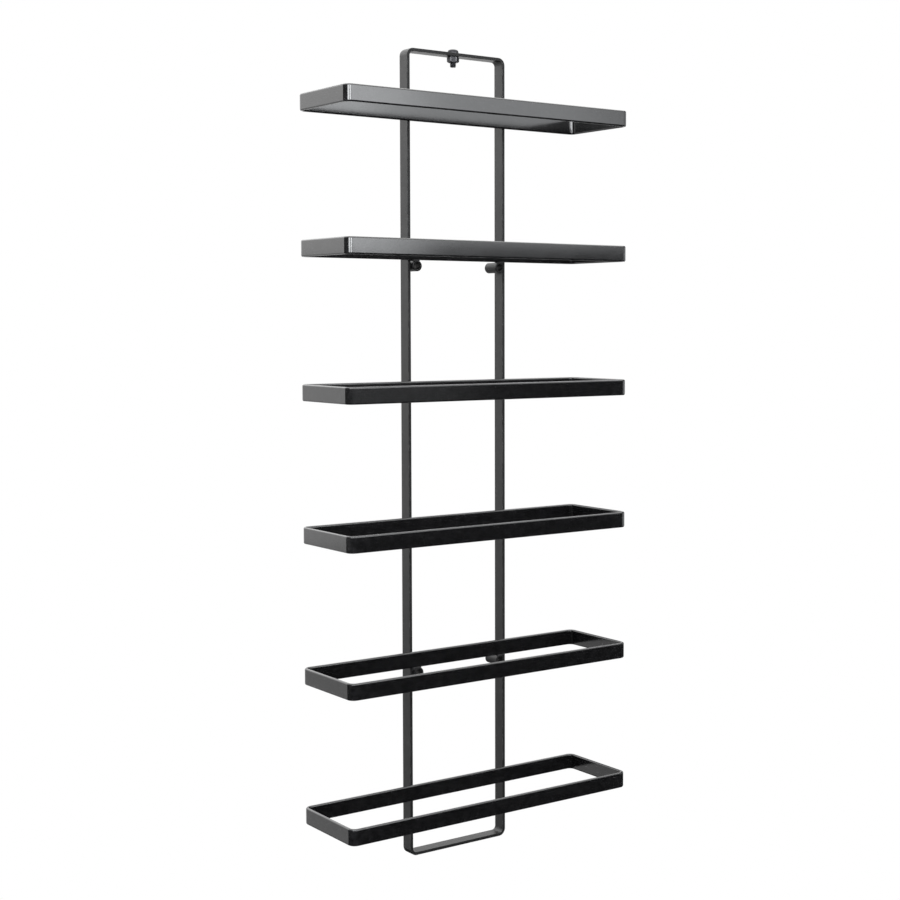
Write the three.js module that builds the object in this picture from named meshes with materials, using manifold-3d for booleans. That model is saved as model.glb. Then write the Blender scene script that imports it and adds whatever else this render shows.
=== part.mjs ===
// Wall-hung rack of flat steel bar: six open rectangular hoops welded, by their back bars, to the front
// edges of one tall narrow frame loop. Four short tubes beside the frame's rails take the wall screws,
// and a button-head bolt with a hex nut passes through the middle of the frame's top bar.
//
// Millimetres, +Z up, the wall at Y = 0, the front towards -Y. The origin is on the wall plane, midway
// between the four wall sleeves.

import * as THREE from 'three';
import { mergeVertices } from 'three/addons/utils/BufferGeometryUtils.js';
import Module from 'manifold-3d';

const wasm = await Module();
wasm.setup();

// ---------------------------------------------------------------- driving dimensions

const barThickness = 3;
const bendRadius = 7; // outside of every bend
const weldGap = 0.3; // clear space left between pieces that the real rack joins by welding or clamping

const hoopCount = 6;
const hoopLength = 308;
const hoopDepth = 86;
const hoopBarHeight = 15;
const hoopPitch = 127;
const hoopOffset = -16; // the hoops' middle lies to the left of the frame's

const frameWidth = 110.5;
const frameBarWidth = 13; // from front to back
const frameAboveHoops = 52;
const frameBelowHoops = 54;

const sleeveDiameter = 10;
const sleeveBore = 6.5;
const sleeveStandsProud = 2; // behind the frame, so only the sleeves touch the wall
const sleevedHoops = [2, 5]; // the wall sleeves sit just under these hoops, counted from the top

const boltDiameter = 6;
const boltHeadDiameter = 10.5;
const boltHeadHeight = 3.3;
const boltSocketWidth = 4; // across the flats of the hexagon socket
const boltSocketDepth = 2;
const boltLength = 13; // under the head
const boltHoleDiameter = 6.6;
const nutWidth = 10; // across the flats
const nutHeight = 5;
const nutBore = 6.6;
const nutCornerChamfer = 0.55; // height that the 30 degree chamfer takes off each corner

const quarterBendSteps = 16; // straight steps in a quarter bend
const roundSteps = 32; // straight steps round a small circle

// ---------------------------------------------------------------- derived places

const frameBackY = -sleeveStandsProud;
const frameFrontY = frameBackY - frameBarWidth;
const hoopBackY = frameFrontY - weldGap;
const hoopFrontY = hoopBackY - hoopDepth;

const sleeveRadius = sleeveDiameter / 2;
const sleeveFrontY = hoopBackY - barThickness; // flush with the back bar's front face
const sleeveX = frameWidth / 2 - barThickness - weldGap - sleeveRadius;
const sleeveHalfSpacing = ((sleevedHoops[1] - sleevedHoops[0]) * hoopPitch) / 2;

const sleeveBelowHoop = weldGap + sleeveRadius; // from a hoop's lower edge down to the sleeve's axis
const hoopBottom = (number) => sleeveHalfSpacing + sleeveBelowHoop + (sleevedHoops[0] - number) * hoopPitch;

const frameTop = hoopBottom(1) + hoopBarHeight + frameAboveHoops;
const frameBottom = hoopBottom(hoopCount) - frameBelowHoops;

// ---------------------------------------------------------------- finishes

function finish(color, roughness, metalness) {
  return new THREE.MeshStandardMaterial({ color, roughness, metalness });
}

const powderCoat = () => finish(0x24252a, 0.45, 0.35);
const blackFastener = () => finish(0x1b1b1d, 0.4, 0.6);

// ---------------------------------------------------------------- helpers

// ExtrudeGeometry cuts every arc of its outline into twice as many steps as its curveSegments.
const segmentsFor = (steps) => steps / 2;

function toSolid(geometry) {
  const positions = geometry.clone();
  positions.deleteAttribute('normal');
  positions.deleteAttribute('uv');
  const merged = mergeVertices(positions, 1e-4);
  const vertProperties = new Float32Array(merged.attributes.position.array);
  const triVerts = new Uint32Array(merged.index.array);
  return new wasm.Manifold(new wasm.Mesh({ numProp: 3, vertProperties, triVerts }));
}

function toGeometry(solid) {
  const mesh = solid.getMesh();
  const geometry = new THREE.BufferGeometry();
  geometry.setAttribute('position', new THREE.BufferAttribute(mesh.vertProperties, 3));
  geometry.setIndex(new THREE.BufferAttribute(mesh.triVerts, 1));
  geometry.computeVertexNormals();
  return geometry;
}

// A rectangle with round corners, centred on the origin, as a Shape or as a hole's Path.
function roundedRectangle(outline, width, height, radius) {
  const x = width / 2 - radius;
  const y = height / 2 - radius;
  outline.absarc(x, y, radius, 0, Math.PI / 2);
  outline.absarc(-x, y, radius, Math.PI / 2, Math.PI);
  outline.absarc(-x, -y, radius, Math.PI, 1.5 * Math.PI);
  outline.absarc(x, -y, radius, 1.5 * Math.PI, 2 * Math.PI);
  outline.closePath();
  return outline;
}

// A flat bar bent the easy way into a closed loop, drawn as seen along its width and extruded by it.
function barLoop(width, height, barWidth) {
  const loop = roundedRectangle(new THREE.Shape(), width, height, bendRadius);
  const inside = new THREE.Path();
  roundedRectangle(inside, width - 2 * barThickness, height - 2 * barThickness, bendRadius - barThickness);
  loop.holes.push(inside);
  const curveSegments = segmentsFor(quarterBendSteps);
  return new THREE.ExtrudeGeometry(loop, { depth: barWidth, bevelEnabled: false, curveSegments });
}

// A round bar standing along Z, from z = bottom to z = top.
function roundBar(diameter, bottom, top) {
  const bar = new THREE.CylinderGeometry(diameter / 2, diameter / 2, top - bottom, roundSteps);
  bar.rotateX(Math.PI / 2);
  bar.translate(0, 0, (top + bottom) / 2);
  return bar;
}

// A six-sided bar standing along Z, with two of its flats facing along X.
function hexagonBar(acrossFlats, bottom, top) {
  const cornerRadius = acrossFlats / 2 / Math.cos(Math.PI / 6);
  const bar = new THREE.CylinderGeometry(cornerRadius, cornerRadius, top - bottom, 6);
  bar.rotateX(Math.PI / 2);
  bar.translate(0, 0, (top + bottom) / 2);
  return bar;
}

// A solid turned about Z from a list of [radius, height] points that starts and ends on the axis.
function turned(profile) {
  const points = profile.map(([radius, height]) => new THREE.Vector2(radius, height));
  const geometry = new THREE.LatheGeometry(points, roundSteps);
  geometry.rotateX(Math.PI / 2);
  return geometry;
}

const rack = new THREE.Group();

function addPiece(name, geometry, material, position) {
  const piece = new THREE.Mesh(geometry, material);
  piece.name = name;
  piece.position.set(...position);
  rack.add(piece);
}

// ---------------------------------------------------------------- frame loop

function frameGeometry() {
  const height = frameTop - frameBottom;
  const loop = barLoop(frameWidth, height, frameBarWidth);
  loop.rotateX(Math.PI / 2);
  loop.translate(0, frameBarWidth / 2, 0);
  const drill = roundBar(boltHoleDiameter, height / 2 - 2 * barThickness, height / 2 + barThickness);
  return toGeometry(toSolid(loop).subtract(toSolid(drill)));
}

const frameMiddleY = (frameFrontY + frameBackY) / 2;
addPiece('frame_loop', frameGeometry(), powderCoat(), [0, frameMiddleY, (frameTop + frameBottom) / 2]);

// ---------------------------------------------------------------- hoops, numbered from the top

const hoopMiddleY = (hoopFrontY + hoopBackY) / 2;
for (let number = 1; number <= hoopCount; number += 1) {
  const geometry = barLoop(hoopLength, hoopDepth, hoopBarHeight);
  addPiece(`hoop_${number}`, geometry, powderCoat(), [hoopOffset, hoopMiddleY, hoopBottom(number)]);
}

// ---------------------------------------------------------------- wall sleeves

function sleeveGeometry() {
  const ring = new THREE.Shape();
  ring.absarc(0, 0, sleeveRadius, 0, 2 * Math.PI);
  const bore = new THREE.Path();
  bore.absarc(0, 0, sleeveBore / 2, 0, 2 * Math.PI);
  ring.holes.push(bore);
  const length = -sleeveFrontY;
  const curveSegments = segmentsFor(roundSteps);
  const sleeve = new THREE.ExtrudeGeometry(ring, { depth: length, bevelEnabled: false, curveSegments });
  sleeve.rotateX(Math.PI / 2); // runs from the wall plane forwards
  return sleeve;
}

for (const [level, z] of [['upper', sleeveHalfSpacing], ['lower', -sleeveHalfSpacing]]) {
  for (const [side, x] of [['left', -sleeveX], ['right', sleeveX]]) {
    addPiece(`sleeve_${level}_${side}`, sleeveGeometry(), powderCoat(), [x, 0, z]);
  }
}

// ---------------------------------------------------------------- bolt and nut in the top bar

// Button-head bolt, with the underside of its head at z = 0 and its shank pointing down.
function boltGeometry() {
  const shank = boltDiameter / 2;
  const head = boltHeadDiameter / 2;
  const rim = 0.6; // straight edge of the head, below the dome
  const crown = boltSocketWidth * 0.7; // radius of the flat round the socket
  const tip = 0.8; // chamfer on the end of the thread
  const profile = [
    [0, -boltLength],
    [shank - tip, -boltLength],
    [shank, tip - boltLength],
    [shank, 0],
    [head, 0],
  ];
  const domeSteps = 6;
  for (let step = 0; step <= domeSteps; step += 1) {
    const angle = (step / domeSteps) * (Math.PI / 2);
    const radius = crown + (head - crown) * Math.cos(angle);
    const height = rim + (boltHeadHeight - rim) * Math.sin(angle);
    profile.push([radius, height]);
  }
  profile.push([0, boltHeadHeight]);
  const socket = hexagonBar(boltSocketWidth, boltHeadHeight - boltSocketDepth, boltHeadHeight + 1);
  return toGeometry(toSolid(turned(profile)).subtract(toSolid(socket)));
}

// Hex nut with chamfered corners, its top face at z = 0.
function nutGeometry() {
  const corner = nutWidth / 2 / Math.cos(Math.PI / 6);
  const chamferedRadius = corner - nutCornerChamfer / Math.tan(Math.PI / 6);
  const envelope = turned([
    [0, -nutHeight],
    [chamferedRadius, -nutHeight],
    [corner, nutCornerChamfer - nutHeight],
    [corner, -nutCornerChamfer],
    [chamferedRadius, 0],
    [0, 0],
  ]);
  const blank = toSolid(hexagonBar(nutWidth, -nutHeight, 0)).intersect(toSolid(envelope));
  return toGeometry(blank.subtract(toSolid(roundBar(nutBore, -nutHeight - 1, 1))));
}

addPiece('top_bolt', boltGeometry(), blackFastener(), [0, frameMiddleY, frameTop + weldGap]);
addPiece('top_nut', nutGeometry(), blackFastener(), [0, frameMiddleY, frameTop - barThickness - weldGap]);

export default rack;
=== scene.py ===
# Wall-hung rack of flat steel bar: the looks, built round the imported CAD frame.
#
# Metres, in the frame's own axes: +Z up, the wall at Y = 0, the front towards -Y. Every piece is made where
# the frame's boxes say, and each has its own short function or section.

import math

import bmesh
import bpy
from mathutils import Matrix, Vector


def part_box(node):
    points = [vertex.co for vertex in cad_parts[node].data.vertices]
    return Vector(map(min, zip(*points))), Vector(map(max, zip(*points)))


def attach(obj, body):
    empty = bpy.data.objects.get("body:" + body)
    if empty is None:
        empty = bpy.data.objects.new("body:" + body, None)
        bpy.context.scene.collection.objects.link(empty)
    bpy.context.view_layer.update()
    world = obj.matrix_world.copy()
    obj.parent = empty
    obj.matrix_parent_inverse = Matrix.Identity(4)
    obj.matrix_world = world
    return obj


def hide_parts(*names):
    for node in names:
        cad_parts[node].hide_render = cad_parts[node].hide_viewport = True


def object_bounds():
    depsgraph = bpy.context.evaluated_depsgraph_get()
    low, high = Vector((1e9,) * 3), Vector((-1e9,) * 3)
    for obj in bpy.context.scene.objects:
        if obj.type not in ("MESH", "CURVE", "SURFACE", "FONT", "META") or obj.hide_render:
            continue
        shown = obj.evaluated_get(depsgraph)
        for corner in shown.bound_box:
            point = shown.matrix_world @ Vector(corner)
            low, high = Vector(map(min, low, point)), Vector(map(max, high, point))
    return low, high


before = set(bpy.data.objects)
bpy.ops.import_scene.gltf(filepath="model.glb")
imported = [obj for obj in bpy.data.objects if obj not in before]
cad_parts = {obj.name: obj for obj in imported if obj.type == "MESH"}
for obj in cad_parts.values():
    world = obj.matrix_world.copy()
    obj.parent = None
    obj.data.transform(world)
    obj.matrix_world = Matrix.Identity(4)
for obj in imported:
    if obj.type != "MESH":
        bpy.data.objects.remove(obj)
cad_low, cad_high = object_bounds()

MM = 0.001

# ------------------------------------------------------------------ driving sizes that the boxes don't give

BAR_THICKNESS = 3 * MM
BEND_RADIUS = 7 * MM  # outside of every bend
HOOP_EDGE_RADIUS = 1.45 * MM  # the hoops' bar has rolled, almost half-round long edges
FRAME_EDGE_RADIUS = 0.4 * MM  # the frame's bar has sheared edges
SLEEVE_BORE = 6.5 * MM
SLEEVE_EDGE = 0.5 * MM
WELD_LEG = 2.2 * MM  # of the beads between hoop and rail
SLEEVE_WELD_LEG = 1.7 * MM
THREAD_PITCH = 1 * MM
THREAD_MINOR = 4.8 * MM
THREAD_MAJOR = 5.95 * MM
SOCKET_WIDTH = 4 * MM  # across the flats
SOCKET_DEPTH = 2 * MM
NUT_WIDTH = 10 * MM  # across the flats

HOOPS = [f"hoop_{number}" for number in range(1, 7)]
SLEEVES = [f"sleeve_{level}_{side}" for level in ("upper", "lower") for side in ("left", "right")]
SLEEVE_HOOP = {name: "hoop_2" if "upper" in name else "hoop_5" for name in SLEEVES}

frame_low, frame_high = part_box("frame_loop")


# ------------------------------------------------------------------ node materials


def new_material(name):
    material = bpy.data.materials.new(name)
    material.use_nodes = True
    nodes = material.node_tree.nodes
    nodes.clear()
    shader = nodes.new("ShaderNodeBsdfPrincipled")
    output = nodes.new("ShaderNodeOutputMaterial")
    material.node_tree.links.new(shader.outputs["BSDF"], output.inputs["Surface"])
    return material, shader


def add_noise(tree, scale, detail, seed_offset):
    """Noise in the rack's own coordinates, so that it runs on from piece to piece."""
    place = tree.nodes.new("ShaderNodeTexCoord")
    shift = tree.nodes.new("ShaderNodeMapping")
    shift.inputs["Location"].default_value = (seed_offset, seed_offset * 0.7, seed_offset * 1.3)
    noise = tree.nodes.new("ShaderNodeTexNoise")
    noise.inputs["Scale"].default_value = scale
    noise.inputs["Detail"].default_value = detail
    tree.links.new(place.outputs["Object"], shift.inputs["Vector"])
    tree.links.new(shift.outputs["Vector"], noise.inputs["Vector"])
    return noise.outputs["Fac"]


def add_range(tree, value, low, high, out_low, out_high):
    """Maps value from low..high to out_low..out_high, held at both ends."""
    node = tree.nodes.new("ShaderNodeMapRange")
    node.inputs["From Min"].default_value = low
    node.inputs["From Max"].default_value = high
    node.inputs["To Min"].default_value = out_low
    node.inputs["To Max"].default_value = out_high
    tree.links.new(value, node.inputs["Value"])
    return node.outputs["Result"]


def add_math(tree, operation, first, second):
    node = tree.nodes.new("ShaderNodeMath")
    node.operation = operation
    node.use_clamp = True
    tree.links.new(first, node.inputs[0])
    tree.links.new(second, node.inputs[1])
    return node.outputs["Value"]


def add_mix(tree, factor, first, second):
    """Mixes two colours, each either a tuple or another node's output."""
    node = tree.nodes.new("ShaderNodeMix")
    node.data_type = "RGBA"
    tree.links.new(factor, node.inputs["Factor"])
    for socket, colour in ((node.inputs[6], first), (node.inputs[7], second)):
        if isinstance(colour, tuple):
            socket.default_value = (*colour, 1)
        else:
            tree.links.new(colour, socket)
    return node.outputs[2]


def add_bump(tree, height, distance, strength, below=None):
    node = tree.nodes.new("ShaderNodeBump")
    node.inputs["Distance"].default_value = distance
    node.inputs["Strength"].default_value = strength
    tree.links.new(height, node.inputs["Height"])
    if below is not None:
        tree.links.new(below, node.inputs["Normal"])
    return node.outputs["Normal"]


def edge_wear(tree):
    """1 on convex edges, broken up by noise, and 0 on flat faces."""
    geometry = tree.nodes.new("ShaderNodeNewGeometry")
    edges = add_range(tree, geometry.outputs["Pointiness"], 0.51, 0.56, 0, 1)
    patches = add_range(tree, add_noise(tree, 160, 4, 3.1), 0.42, 0.62, 0.15, 1)
    return add_math(tree, "MULTIPLY", edges, patches)


def facing_y(tree):
    """1 on faces that look along Y, either way, and 0 on those that look along X or Z."""
    place = tree.nodes.new("ShaderNodeTexCoord")
    parts = tree.nodes.new("ShaderNodeSeparateXYZ")
    size = tree.nodes.new("ShaderNodeMath")
    size.operation = "ABSOLUTE"
    tree.links.new(place.outputs["Normal"], parts.inputs["Vector"])
    tree.links.new(parts.outputs["Y"], size.inputs[0])
    return add_range(tree, size.outputs["Value"], 0.5, 0.9, 0, 1)


def powder_coat(name, smooth, rough, shine, edge_roughening=0, edge_shine=None):
    """Near-black powder coat: orange peel, roughness from smooth to rough, a few specks and rubbed edges.

    shine is the strength of its reflection, 0.5 for an ordinary coat. edge_roughening and edge_shine are for
    the faces that look along Y, where the coat is over a cut edge of the bar.
    """
    material, shader = new_material(name)
    tree = material.node_tree
    wear = edge_wear(tree)
    slow = add_noise(tree, 14, 3, 0)
    specks = add_range(tree, add_noise(tree, 900, 2, 7.7), 0.70, 0.76, 0, 1)

    coat = add_mix(tree, slow, (0.0010, 0.0010, 0.0011), (0.0017, 0.0017, 0.0018))
    dusty = add_mix(tree, specks, coat, (0.012, 0.012, 0.012))
    worn = add_mix(tree, wear, dusty, (0.014, 0.014, 0.015))
    tree.links.new(worn, shader.inputs["Base Color"])

    gloss = add_range(tree, add_noise(tree, 40, 5, 1.9), 0.3, 0.7, smooth, rough)
    shader.inputs["Specular IOR Level"].default_value = shine
    if edge_shine is not None:
        edges = facing_y(tree)
        gloss = add_math(tree, "ADD", gloss, add_range(tree, edges, 0, 1, 0, edge_roughening))
        tree.links.new(add_range(tree, edges, 0, 1, shine, edge_shine), shader.inputs["Specular IOR Level"])
    rubbed = add_math(tree, "SUBTRACT", gloss, add_range(tree, wear, 0, 1, 0, 0.03))
    tree.links.new(rubbed, shader.inputs["Roughness"])
    shader.inputs["IOR"].default_value = 1.6

    peel = add_bump(tree, add_noise(tree, 420, 2, 5.3), 0.06 * MM, 0.12)
    grain = add_bump(tree, add_noise(tree, 2600, 2, 9.4), 0.01 * MM, 0.2, peel)
    tree.links.new(grain, shader.inputs["Normal"])
    return material


def black_fastener():
    """Blackened steel of the bolt and nut, with brighter corners where a tool has touched it."""
    material, shader = new_material("black_fastener")
    tree = material.node_tree
    wear = edge_wear(tree)
    mottle = add_noise(tree, 700, 4, 2.2)
    black = add_mix(tree, mottle, (0.018, 0.018, 0.020), (0.032, 0.032, 0.035))
    touched = add_mix(tree, wear, black, (0.10, 0.10, 0.105))
    tree.links.new(touched, shader.inputs["Base Color"])
    shader.inputs["Metallic"].default_value = 0.8
    tree.links.new(add_range(tree, mottle, 0.3, 0.7, 0.40, 0.52), shader.inputs["Roughness"])
    tree.links.new(add_bump(tree, add_noise(tree, 1800, 3, 4.8), 0.03 * MM, 0.4), shader.inputs["Normal"])
    return material


HOOP_COAT = powder_coat("powder_coat_satin", 0.12, 0.145, 0.5)
FRAME_COAT = powder_coat("powder_coat_matt", 0.36, 0.42, 0.33, edge_roughening=0.2, edge_shine=0.21)
SLEEVE_COAT = powder_coat("powder_coat_thin", 0.38, 0.44, 0.18)
FASTENER = black_fastener()


# ------------------------------------------------------------------ mesh helpers


def new_piece(name, mesh, material, slot, *nodes):
    """Turns a bmesh into a smooth-shaded piece on the rack's one body, standing for the CAD nodes named."""
    bmesh.ops.recalc_face_normals(mesh, faces=mesh.faces)
    data = bpy.data.meshes.new(name)
    mesh.to_mesh(data)
    mesh.free()
    data.shade_smooth()
    data.materials.append(material)
    piece = bpy.data.objects.new(name, data)
    bpy.context.scene.collection.objects.link(piece)
    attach(piece, "root")
    if nodes:
        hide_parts(*nodes)
    return piece


def flatten_shading(piece):
    """Lets wide flat faces keep their own normal, so that only the narrow round edges shade as round."""
    modifier = piece.modifiers.new("flat_faces", "WEIGHTED_NORMAL")
    modifier.mode = "FACE_AREA"
    modifier.weight = 100
    modifier.keep_sharp = True


def add_ring(mesh, points):
    return [mesh.verts.new(point) for point in points]


def join_rings(mesh, first, second):
    count = len(first)
    for i in range(count):
        j = (i + 1) % count
        mesh.faces.new((first[i], first[j], second[j], second[i]))


def loft(mesh, rings, closed=False):
    """Quads between rings of equally many points. A closed loft joins the last ring to the first."""
    made = [add_ring(mesh, ring) for ring in rings]
    for first, second in zip(made, made[1:]):
        join_rings(mesh, first, second)
    if closed:
        join_rings(mesh, made[-1], made[0])
    return made


def cap(mesh, ring, centre):
    """Closes a ring with a fan of triangles to one point."""
    middle = mesh.verts.new(centre)
    count = len(ring)
    for i in range(count):
        mesh.faces.new((ring[i], ring[(i + 1) % count], middle))


def arc(centre, radius, start, end, steps):
    """Points (across, up) on an arc given in degrees, both ends included."""
    points = []
    for i in range(steps + 1):
        angle = math.radians(start + (end - start) * i / steps)
        points.append((centre[0] + radius * math.cos(angle), centre[1] + radius * math.sin(angle)))
    return points


# ------------------------------------------------------------------ bent flat bar


def bar_section(width, edge):
    """Outline of the flat bar, with round long edges, as (depth from the outer face, place across)."""
    steps = 5
    near, far = edge, BAR_THICKNESS - edge
    low, high = edge, width - edge
    outline = arc((far, high), edge, 0, 90, steps)
    outline += arc((near, high), edge, 90, 180, steps)
    outline += arc((near, low), edge, 180, 270, steps)
    outline += arc((far, low), edge, 270, 360, steps)
    return outline


def loop_stations(low_u, high_u, low_v, high_v):
    """(bend centre u, v, outward angle) round a rectangle with round corners."""
    bend_steps = 16
    spacing = 25 * MM  # of the cuts along the straights
    left, right = low_u + BEND_RADIUS, high_u - BEND_RADIUS
    bottom, top = low_v + BEND_RADIUS, high_v - BEND_RADIUS
    corners = [(right, top, 0), (left, top, 90), (left, bottom, 180), (right, bottom, 270)]
    stations = []
    for index, (u, v, start) in enumerate(corners):
        for step in range(bend_steps + 1):
            stations.append((u, v, math.radians(start + 90 * step / bend_steps)))
        next_u, next_v, _ = corners[(index + 1) % 4]
        cuts = round(math.hypot(next_u - u, next_v - v) / spacing)
        for cut in range(1, cuts):
            share = cut / cuts
            stations.append((u + (next_u - u) * share, v + (next_v - v) * share, math.radians(start + 90)))
    return stations


def bent_bar(stations, width, edge, to_point):
    """A closed loop of flat bar. to_point turns (u, v, place across the width) into a point of the rack."""
    mesh = bmesh.new()
    rings = []
    for u, v, angle in stations:
        ring = []
        for depth, across in bar_section(width, edge):
            reach = BEND_RADIUS - depth
            ring.append(to_point(u + reach * math.cos(angle), v + reach * math.sin(angle), across))
        rings.append(ring)
    loft(mesh, rings, closed=True)
    return mesh


def make_hoop(node):
    low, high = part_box(node)
    stations = loop_stations(low.x, high.x, low.y, high.y)

    def to_point(u, v, across):
        return Vector((u, v, low.z + across))

    mesh = bent_bar(stations, high.z - low.z, HOOP_EDGE_RADIUS, to_point)
    flatten_shading(new_piece(f"{node}_bar", mesh, HOOP_COAT, "powder_coat", node))


def make_frame():
    stations = loop_stations(frame_low.x, frame_high.x, frame_low.z, frame_high.z)

    def to_point(u, v, across):
        return Vector((u, frame_low.y + across, v))

    mesh = bent_bar(stations, frame_high.y - frame_low.y, FRAME_EDGE_RADIUS, to_point)
    flatten_shading(new_piece("frame_loop_bar", mesh, FRAME_COAT, "powder_coat", "frame_loop"))


for hoop in HOOPS:
    make_hoop(hoop)
make_frame()


# ------------------------------------------------------------------ wall sleeves


def circle(centre_x, centre_z, y, radius, steps=64):
    ring = []
    for i in range(steps):
        angle = 2 * math.pi * i / steps
        ring.append((centre_x + radius * math.cos(angle), y, centre_z + radius * math.sin(angle)))
    return ring


def make_sleeve(node):
    low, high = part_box(node)
    x, z = (low.x + high.x) / 2, (low.z + high.z) / 2
    outer, inner = (high.x - low.x) / 2, SLEEVE_BORE / 2
    soft = SLEEVE_EDGE
    steps = 5
    outline = arc((outer - soft, low.y + soft), soft, -90, 0, steps)
    outline += arc((outer - soft, high.y - soft), soft, 0, 90, steps)
    outline += arc((inner + soft, high.y - soft), soft, 90, 180, steps)
    outline += arc((inner + soft, low.y + soft), soft, 180, 270, steps)
    mesh = bmesh.new()
    loft(mesh, [circle(x, z, y, radius) for radius, y in outline], closed=True)
    flatten_shading(new_piece(f"{node}_tube", mesh, SLEEVE_COAT, "powder_coat", node))


for sleeve in SLEEVES:
    make_sleeve(sleeve)


# ------------------------------------------------------------------ weld beads


def bead_section(corner, side_a, side_b, leg, ripple_place):
    """Convex fillet from one face to the other, with its root inside the metal."""
    steps = 8
    root = 0.3 * MM
    drawn_in = 0.16  # share of the leg by which the middle falls short of a full quarter circle
    ripple_height = 0.05  # as a share of the leg
    ripple_bow = 1.6  # phase between a ripple's middle and its ends, in radians, so that it bows
    ring = [corner - (side_a + side_b) * root]
    for step in range(steps + 1):
        turn = math.pi / 2 * step / steps
        bulge = 1 - drawn_in * math.sin(2 * turn)
        ripple = 1 + ripple_height * math.cos(ripple_place + ripple_bow * math.sin(2 * turn))
        reach = leg * bulge * ripple
        ring.append(corner + (side_a * math.cos(turn) + side_b * math.sin(turn)) * reach)
    return ring


def add_bead(mesh, start, end, side_a, side_b, leg=WELD_LEG):
    """A rippled fillet bead in the corner between two faces, from start to end, with round ends."""
    along = end - start
    length = along.length
    ripple_spacing = 1.1 * MM
    ring_spacing = 0.22 * MM
    fewest_rings = 12
    end_fullness = 0.02  # least square of the fullness, so that a bead ends in a small ring and not a point
    steps = max(fewest_rings, round(length / ring_spacing))
    rings = []
    for step in range(steps + 1):
        place = length * step / steps
        from_end = min(place, length - place)
        round_part = min(1, from_end / leg)
        fullness = math.sqrt(max(end_fullness, 1 - (1 - round_part) ** 2))
        corner = start + along * (step / steps)
        ripple_place = 2 * math.pi * place / ripple_spacing
        rings.append(bead_section(corner, side_a, side_b, leg * fullness, ripple_place))
    made = loft(mesh, rings)
    for ring in (made[0], made[-1]):
        cap(mesh, ring, sum((vert.co for vert in ring), Vector()) / len(ring))


def add_block(mesh, low, high):
    """A plain filler inside a joint, where two bars meet."""
    corners = [(low.x, low.y), (high.x, low.y), (high.x, high.y), (low.x, high.y)]
    bottom = add_ring(mesh, [(x, y, low.z) for x, y in corners])
    top = add_ring(mesh, [(x, y, high.z) for x, y in corners])
    join_rings(mesh, bottom, top)
    mesh.faces.new(bottom)
    mesh.faces.new(top)


def rail_sides(side):
    """The x of a rail's outer and inner face."""
    outer = frame_low.x if side == "left" else frame_high.x
    inwards = 1 if side == "left" else -1
    return outer, outer + inwards * BAR_THICKNESS


RIGHT = Vector((1, 0, 0))
BACK = Vector((0, 1, 0))
UP = Vector((0, 0, 1))


def weld_hoop(node, side):
    """Two upright beads behind a hoop's back bar, one on each side of the rail's front edge."""
    low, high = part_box(node)
    outer, inner = rail_sides(side)
    outwards = RIGHT if side == "right" else -RIGHT
    mesh = bmesh.new()
    margin = 0.8 * MM
    start_z, end_z = low.z + margin, high.z - margin
    for x, away in ((outer, outwards), (inner, -outwards)):
        add_bead(mesh, Vector((x, high.y, start_z)), Vector((x, high.y, end_z)), away, BACK)
    inset = 0.5 * MM
    block_low = Vector((min(outer, inner) + inset, high.y - inset, low.z + inset))
    block_high = Vector((max(outer, inner) - inset, frame_low.y + inset, high.z - inset))
    add_block(mesh, block_low, block_high)
    new_piece(f"weld_{node}_{side}", mesh, FRAME_COAT, "powder_coat")


def weld_sleeve_to_rail(mesh, low, high, inner, outwards):
    """A bead above and one below the line where the sleeve lies along its rail."""
    rise = 1.9 * MM
    inset = 0.6 * MM
    middle_z = (low.z + high.z) / 2
    for up in (UP, -UP):
        start = Vector((inner, frame_low.y + inset, middle_z)) + up * rise
        end = Vector((inner, frame_high.y - inset, middle_z)) + up * rise
        add_bead(mesh, start, end, up, -outwards, SLEEVE_WELD_LEG)


def weld_sleeve_to_hoop(mesh, low, high, inner, outwards, hoop_underside):
    """Weld metal that fills the corner of sleeve, rail and back bar, with a bead on its two open sides."""
    leg = 1.5 * MM
    reach = 2.2 * MM  # from the sleeve's middle to the fill's free side
    free_x = (low.x + high.x) / 2 - outwards.x * reach
    front_inset, back_inset = 0.5 * MM, 0.6 * MM
    start = Vector((free_x, low.y + front_inset, hoop_underside))
    end = Vector((free_x, frame_low.y - back_inset, hoop_underside))
    add_bead(mesh, start, end, -outwards, -UP, leg)

    toe_inset, toe_drop = 1.3 * MM, 0.35 * MM
    rounding = 0.8 * MM  # how far the front bead runs on past the fill's free side
    toe_y, toe_z = low.y + toe_inset, hoop_underside - toe_drop
    left, right = sorted((free_x - outwards.x * rounding, inner))
    add_bead(mesh, Vector((left, toe_y, toe_z)), Vector((right, toe_y, toe_z)), -BACK, UP, leg)

    bite = 0.5 * MM  # into the rail
    fill_inset = 1.2 * MM
    half_height = 0.9 * MM
    left, right = sorted((free_x, inner + outwards.x * bite))
    fill_low = Vector((left, low.y + fill_inset, hoop_underside - half_height))
    fill_high = Vector((right, frame_low.y + bite, hoop_underside + half_height))
    add_block(mesh, fill_low, fill_high)


def weld_sleeve(node):
    low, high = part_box(node)
    side = node.rsplit("_", 1)[1]
    outwards = RIGHT if side == "right" else -RIGHT
    inner = rail_sides(side)[1]
    hoop_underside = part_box(SLEEVE_HOOP[node])[0].z
    mesh = bmesh.new()
    weld_sleeve_to_rail(mesh, low, high, inner, outwards)
    weld_sleeve_to_hoop(mesh, low, high, inner, outwards, hoop_underside)
    new_piece(f"weld_{node}", mesh, SLEEVE_COAT, "powder_coat")


for hoop in HOOPS:
    for rail in ("left", "right"):
        weld_hoop(hoop, rail)
for sleeve in SLEEVES:
    weld_sleeve(sleeve)


# ------------------------------------------------------------------ bolt and nut in the top bar

TURN_STEPS = 72
LEVELS_PER_PITCH = 12
SHARP_ANGLE = math.radians(35)  # edges of the bolt and nut that turn by more than this stay sharp


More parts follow.
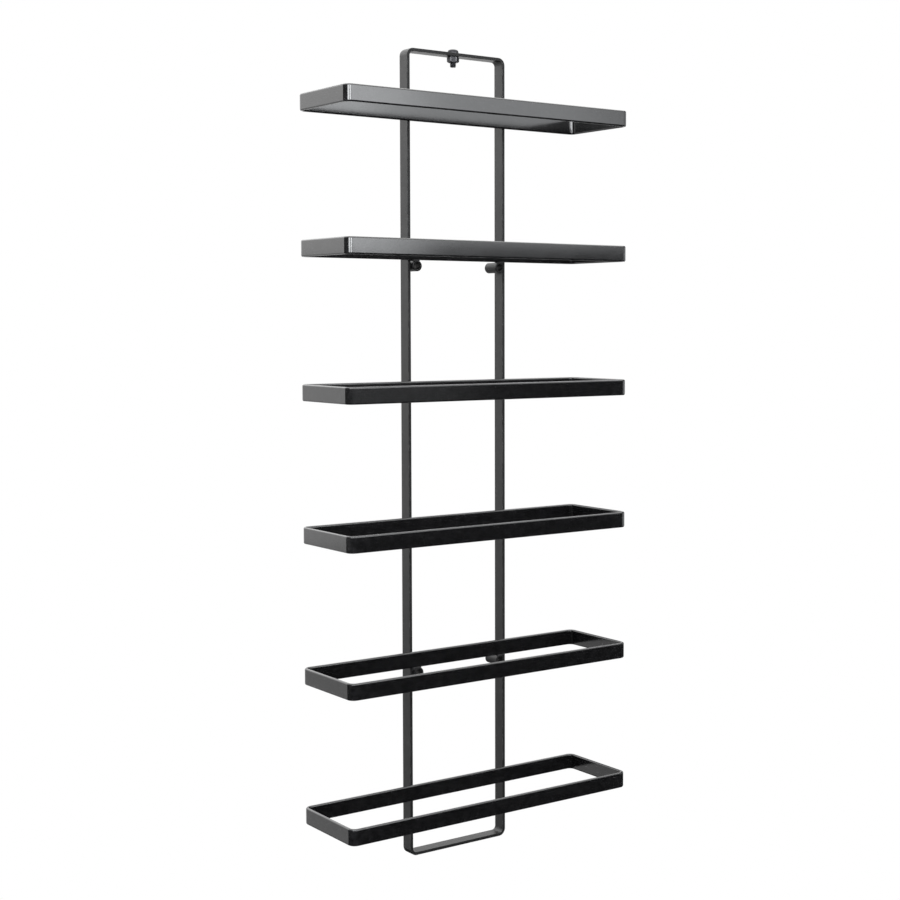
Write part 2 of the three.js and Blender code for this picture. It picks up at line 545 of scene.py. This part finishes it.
def turned_ring(radius_at, z):
    """A ring round the bolt's axis, whose radius may depend on the angle."""
    ring = []
    for i in range(TURN_STEPS):
        angle = 2 * math.pi * i / TURN_STEPS
        radius = radius_at(angle)
        ring.append((bolt_x + radius * math.cos(angle), bolt_y + radius * math.sin(angle), z))
    return ring


def hexagon(across_flats):
    """Radius of a hexagon at an angle, two of its flats facing along X."""
    def radius_at(angle):
        sixth = math.pi / 3
        return across_flats / 2 / math.cos((angle + sixth / 2) % sixth - sixth / 2)
    return radius_at


def round_of(radius):
    return lambda angle: radius


def thread(z):
    """Radius of a right-hand M6 thread at height z."""
    crest_flat, flank = 0.125, 0.625  # shares of half a pitch; the root's flat takes the rest

    def radius_at(angle):
        place = (z / THREAD_PITCH - angle / (2 * math.pi)) % 1
        from_crest = abs(2 * place - 1)
        fall = min(1, max(0, (from_crest - crest_flat) / flank))
        return (THREAD_MAJOR - (THREAD_MAJOR - THREAD_MINOR) * fall) / 2
    return radius_at


bolt_low, bolt_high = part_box("top_bolt")
nut_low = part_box("top_nut")[0]
bolt_x, bolt_y = (bolt_low.x + bolt_high.x) / 2, (bolt_low.y + bolt_high.y) / 2
head_underside = frame_high.z
bar_underside = frame_high.z - BAR_THICKNESS


def make_bolt():
    """Button-head bolt with a rolled thread and a hexagon socket."""
    head = (bolt_high.x - bolt_low.x) / 2
    crown = 0.53 * head  # radius of the flat round the socket
    rim = head_underside + 0.8 * MM  # where the head's straight edge turns into the dome
    dome = bolt_high.z - rim
    tip_chamfer = 0.7 * MM
    rings = []
    levels = round((head_underside - bolt_low.z) / (THREAD_PITCH / LEVELS_PER_PITCH))
    for level in range(levels + 1):
        z = bolt_low.z + (head_underside - bolt_low.z) * level / levels
        cone = THREAD_MAJOR / 2 - tip_chamfer + (z - bolt_low.z)
        full = thread(z)
        rings.append(turned_ring(lambda angle, full=full, cone=cone: min(full(angle), cone), z))
    soft = 0.15 * MM
    rings.append(turned_ring(round_of(head - soft), head_underside))
    rings.append(turned_ring(round_of(head), head_underside + soft))
    dome_steps = 12
    for step in range(dome_steps + 1):
        turn = math.pi / 2 * step / dome_steps
        radius = crown + (head - crown) * math.cos(turn)
        rings.append(turned_ring(round_of(radius), rim + dome * math.sin(turn)))
    socket = hexagon(SOCKET_WIDTH)
    corner = SOCKET_WIDTH / 2 / math.cos(math.pi / 6)
    lead_in = 0.2 * MM
    drill_point = 0.4 * MM  # depth of the cone at the socket's bottom
    rings.append(turned_ring(round_of(corner + lead_in / 2), bolt_high.z))
    rings.append(turned_ring(socket, bolt_high.z - lead_in))
    rings.append(turned_ring(socket, bolt_high.z - SOCKET_DEPTH))
    mesh = bmesh.new()
    made = loft(mesh, rings)
    cap(mesh, made[0], (bolt_x, bolt_y, bolt_low.z))
    cap(mesh, made[-1], (bolt_x, bolt_y, bolt_high.z - SOCKET_DEPTH - drill_point))
    return new_piece("top_bolt_threaded", mesh, FASTENER, "black_fastener", "top_bolt")


def make_nut():
    """Hex nut with chamfered corners on both faces and a threaded bore."""
    flats = hexagon(NUT_WIDTH)
    corner = NUT_WIDTH / 2 / math.cos(math.pi / 6)
    chamfer = 0.7 * MM
    chamfer_steps = 6
    slope = math.tan(math.radians(30))
    clearance = 0.15 * MM
    bore_edge = THREAD_MAJOR / 2 + 0.3 * MM

    def outside(z):
        from_face = min(z - nut_low.z, bar_underside - z)
        cone = corner - max(0, chamfer - from_face) / slope
        return lambda angle: min(flats(angle), cone)

    def bore(z):
        full = thread(z)
        return lambda angle: full(angle) + clearance

    height = bar_underside - nut_low.z
    side_levels = [chamfer * step / chamfer_steps for step in range(chamfer_steps + 1)]
    heights = [nut_low.z + level for level in side_levels]
    heights += [bar_underside - level for level in reversed(side_levels)]
    rings = [turned_ring(round_of(bore_edge), nut_low.z)]
    rings += [turned_ring(outside(z), z) for z in heights]
    rings.append(turned_ring(round_of(bore_edge), bar_underside))
    bore_levels = round(height / (THREAD_PITCH / LEVELS_PER_PITCH))
    lead_in = 0.4 * MM
    for level in range(bore_levels + 1):
        z = bar_underside - lead_in - (height - 2 * lead_in) * level / bore_levels
        rings.append(turned_ring(bore(z), z))
    mesh = bmesh.new()
    loft(mesh, rings, closed=True)
    return new_piece("top_nut_chamfered", mesh, FASTENER, "black_fastener", "top_nut")


for fastener in (make_bolt(), make_nut()):
    fastener.data.set_sharp_from_angle(angle=SHARP_ANGLE)


# ------------------------------------------------------------------ floor and backdrop


def stage_material():
    """Plain white to the camera, and a lit, pale surface to the light that goes on to the rack.

    The lit surface is brighter than white. Seen as it is, it would eat into the rack's outlines.
    """
    material, shader = new_material("pale_backdrop")
    shader.inputs["Base Color"].default_value = (0.85, 0.85, 0.85, 1)
    shader.inputs["Roughness"].default_value = 1
    shader.inputs["Emission Color"].default_value = (1, 1, 1, 1)
    shader.inputs["Emission Strength"].default_value = 0.9

    nodes, links = material.node_tree.nodes, material.node_tree.links
    white = nodes.new("ShaderNodeEmission")
    white.inputs["Color"].default_value = (1, 1, 1, 1)
    white.inputs["Strength"].default_value = 1
    ray = nodes.new("ShaderNodeLightPath")
    chosen = nodes.new("ShaderNodeMixShader")
    output = next(node for node in nodes if node.type == "OUTPUT_MATERIAL")
    links.new(ray.outputs["Is Camera Ray"], chosen.inputs["Fac"])
    links.new(shader.outputs["BSDF"], chosen.inputs[1])
    links.new(white.outputs["Emission"], chosen.inputs[2])
    links.new(chosen.outputs["Shader"], output.inputs["Surface"])
    return material


def make_stage():
    """A wide pale floor that curves up all round into a wall, so that every view has the same backdrop."""
    drop = 0.9  # from the rack's lower end to the floor
    floor_z = cad_low.z - drop
    wall_radius, cove_radius, wall_top = 7.0, 2.5, 5.0
    hub_radius, flat_radius = 0.02, 2.0
    round_steps, cove_steps = 96, 16
    outline = [(hub_radius, floor_z), (flat_radius, floor_z)]
    outline += arc((wall_radius - cove_radius, floor_z + cove_radius), cove_radius, -90, 0, cove_steps)
    outline.append((wall_radius, wall_top))
    mesh = bmesh.new()
    rings = []
    for radius, z in outline:
        ring = []
        for i in range(round_steps):
            angle = 2 * math.pi * i / round_steps
            ring.append((radius * math.cos(angle), radius * math.sin(angle), z))
        rings.append(ring)
    made = loft(mesh, rings)
    cap(mesh, made[0], (0, 0, floor_z))
    bmesh.ops.recalc_face_normals(mesh, faces=mesh.faces)
    data = bpy.data.meshes.new("floor")
    mesh.to_mesh(data)
    mesh.free()
    data.shade_smooth()
    data.materials.append(stage_material())
    floor = bpy.data.objects.new("floor", data)
    bpy.context.scene.collection.objects.link(floor)
    floor.visible_glossy = False


make_stage()


# ------------------------------------------------------------------ light


def soft_box(name, centre, target, width, height, brightness, colour):
    """An area light facing target. brightness is its radiance, and white in the picture is 1."""
    light = bpy.data.lights.new(name, "AREA")
    light.shape = "RECTANGLE"
    light.size = width
    light.size_y = height
    light.energy = brightness * math.pi * width * height
    light.color = colour
    box = bpy.data.objects.new(name, light)
    bpy.context.scene.collection.objects.link(box)
    box.location = centre
    box.rotation_mode = "QUATERNION"
    box.rotation_quaternion = (Vector(target) - Vector(centre)).to_track_quat("-Z", "Y")
    box.visible_camera = False


COOL = (0.96, 0.98, 1)
WHITE = (1, 1, 1)
WORLD_GREY = 0.015

# Upright boxes on the front and back walls of the studio: name, left, right, low, high, brightness.
FRONT_WALL_Y = -2.5
FRONT_BOXES = (
    ("front_middle", -0.8, 1.45, 0.25, 1.2, 6.4),
    ("front_right", 1.45, 2.05, 0.36, 1.2, 3.4),
    ("front_far_right", 2.05, 3.0, 0.36, 1.2, 2),
    ("front_low", -0.8, 1.6, -0.3, 0.25, 0.32),
)
BACK_WALL_Y = 2.6
BACK_BOXES = (
    ("back_top", -2.4, 0.8, 0.9, 1.9, 3),
    ("back_upper", -2.4, 0.8, 0.3, 0.9, 1.95),
    ("back_right", 0.8, 3.6, 0.3, 1.9, 1),
    ("back_middle", -2.4, 3.6, -0.5, 0.3, 1.4),
    ("back_lower", -2.4, 3.6, -1.7, -0.5, 0.78),
)


# Boxes behind the camera: name, left and right edge from the middle of their row, brightness.
CAMERA_BOXES = (
    ("front_left", -0.95, 0.1, 14),
    ("front_left_near", 0.42, 0.95, 20),
)
CAMERA_BOX_HEIGHT = 0.8


def light_wall(y, boxes, colour):
    for name, left, right, low, high, brightness in boxes:
        x, z = (left + right) / 2, (low + high) / 2
        soft_box(name, (x, y, z), (x, 0, z), right - left, high - low, brightness, colour)


def light_front_left():
    """Two bright boxes behind the camera, to its left and right, that the hoops' left bends mirror."""
    middle = Vector((-1.75, -2.0, 0.65))
    target = Vector((-0.16, -0.1, 0.65))
    across = (target - middle).cross(UP).normalized()
    for name, left, right, brightness in CAMERA_BOXES:
        offset = across * (left + right) / 2
        soft_box(name, middle + offset, target + offset, right - left, CAMERA_BOX_HEIGHT, brightness, COOL)


def light_side(name, x, y, width, height, brightness, colour):
    """An upright box to one side of the rack, facing along X."""
    z = 0.3
    soft_box(name, (x, y, z), (0, y, z), width, height, brightness, colour)


def light_overhead():
    """One wide square box above the rack, facing down."""
    height, side, brightness = 2.0, 4.8, 3
    soft_box("overhead", (0, 0, height), (0, 0, 0), side, side, brightness, WHITE)


def light_rack():
    world = bpy.data.worlds.new("studio")
    world.use_nodes = True
    background = world.node_tree.nodes["Background"]
    background.inputs["Color"].default_value = (WORLD_GREY, WORLD_GREY, WORLD_GREY, 1)
    bpy.context.scene.world = world
    light_wall(FRONT_WALL_Y, FRONT_BOXES, COOL)
    light_wall(BACK_WALL_Y, BACK_BOXES, WHITE)
    light_front_left()
    light_side("side_right", x=3.0, y=-0.9, width=3.0, height=1.8, brightness=1.2, colour=COOL)
    light_side("side_left", x=-3.2, y=0.2, width=3.0, height=2.4, brightness=0.15, colour=WHITE)
    light_overhead()


light_rack()


# ------------------------------------------------------------------ camera, to the front left of the rack

LENS = 64.82  # millimetres, on a sensor 36 mm wide
SHIFT = (-0.0778, -0.0222)  # in picture widths
YAW = math.radians(36.56)  # from +Y towards +X
PITCH = math.radians(-3.865)  # up from level, so the camera looks slightly down
FROM_CENTRE = Vector((-0.8515, -1.2333, 0.1264))  # from the middle of the CAD's box


def make_camera():
    data = bpy.data.cameras.new("camera")
    data.lens = LENS
    data.shift_x, data.shift_y = SHIFT
    camera = bpy.data.objects.new("camera", data)
    bpy.context.scene.collection.objects.link(camera)
    camera.location = (cad_low + cad_high) / 2 + FROM_CENTRE
    camera.rotation_euler = (math.pi / 2 + PITCH, 0, -YAW)
    bpy.context.scene.camera = camera


make_camera()
bpy.context.scene.view_settings.view_transform = "Standard"
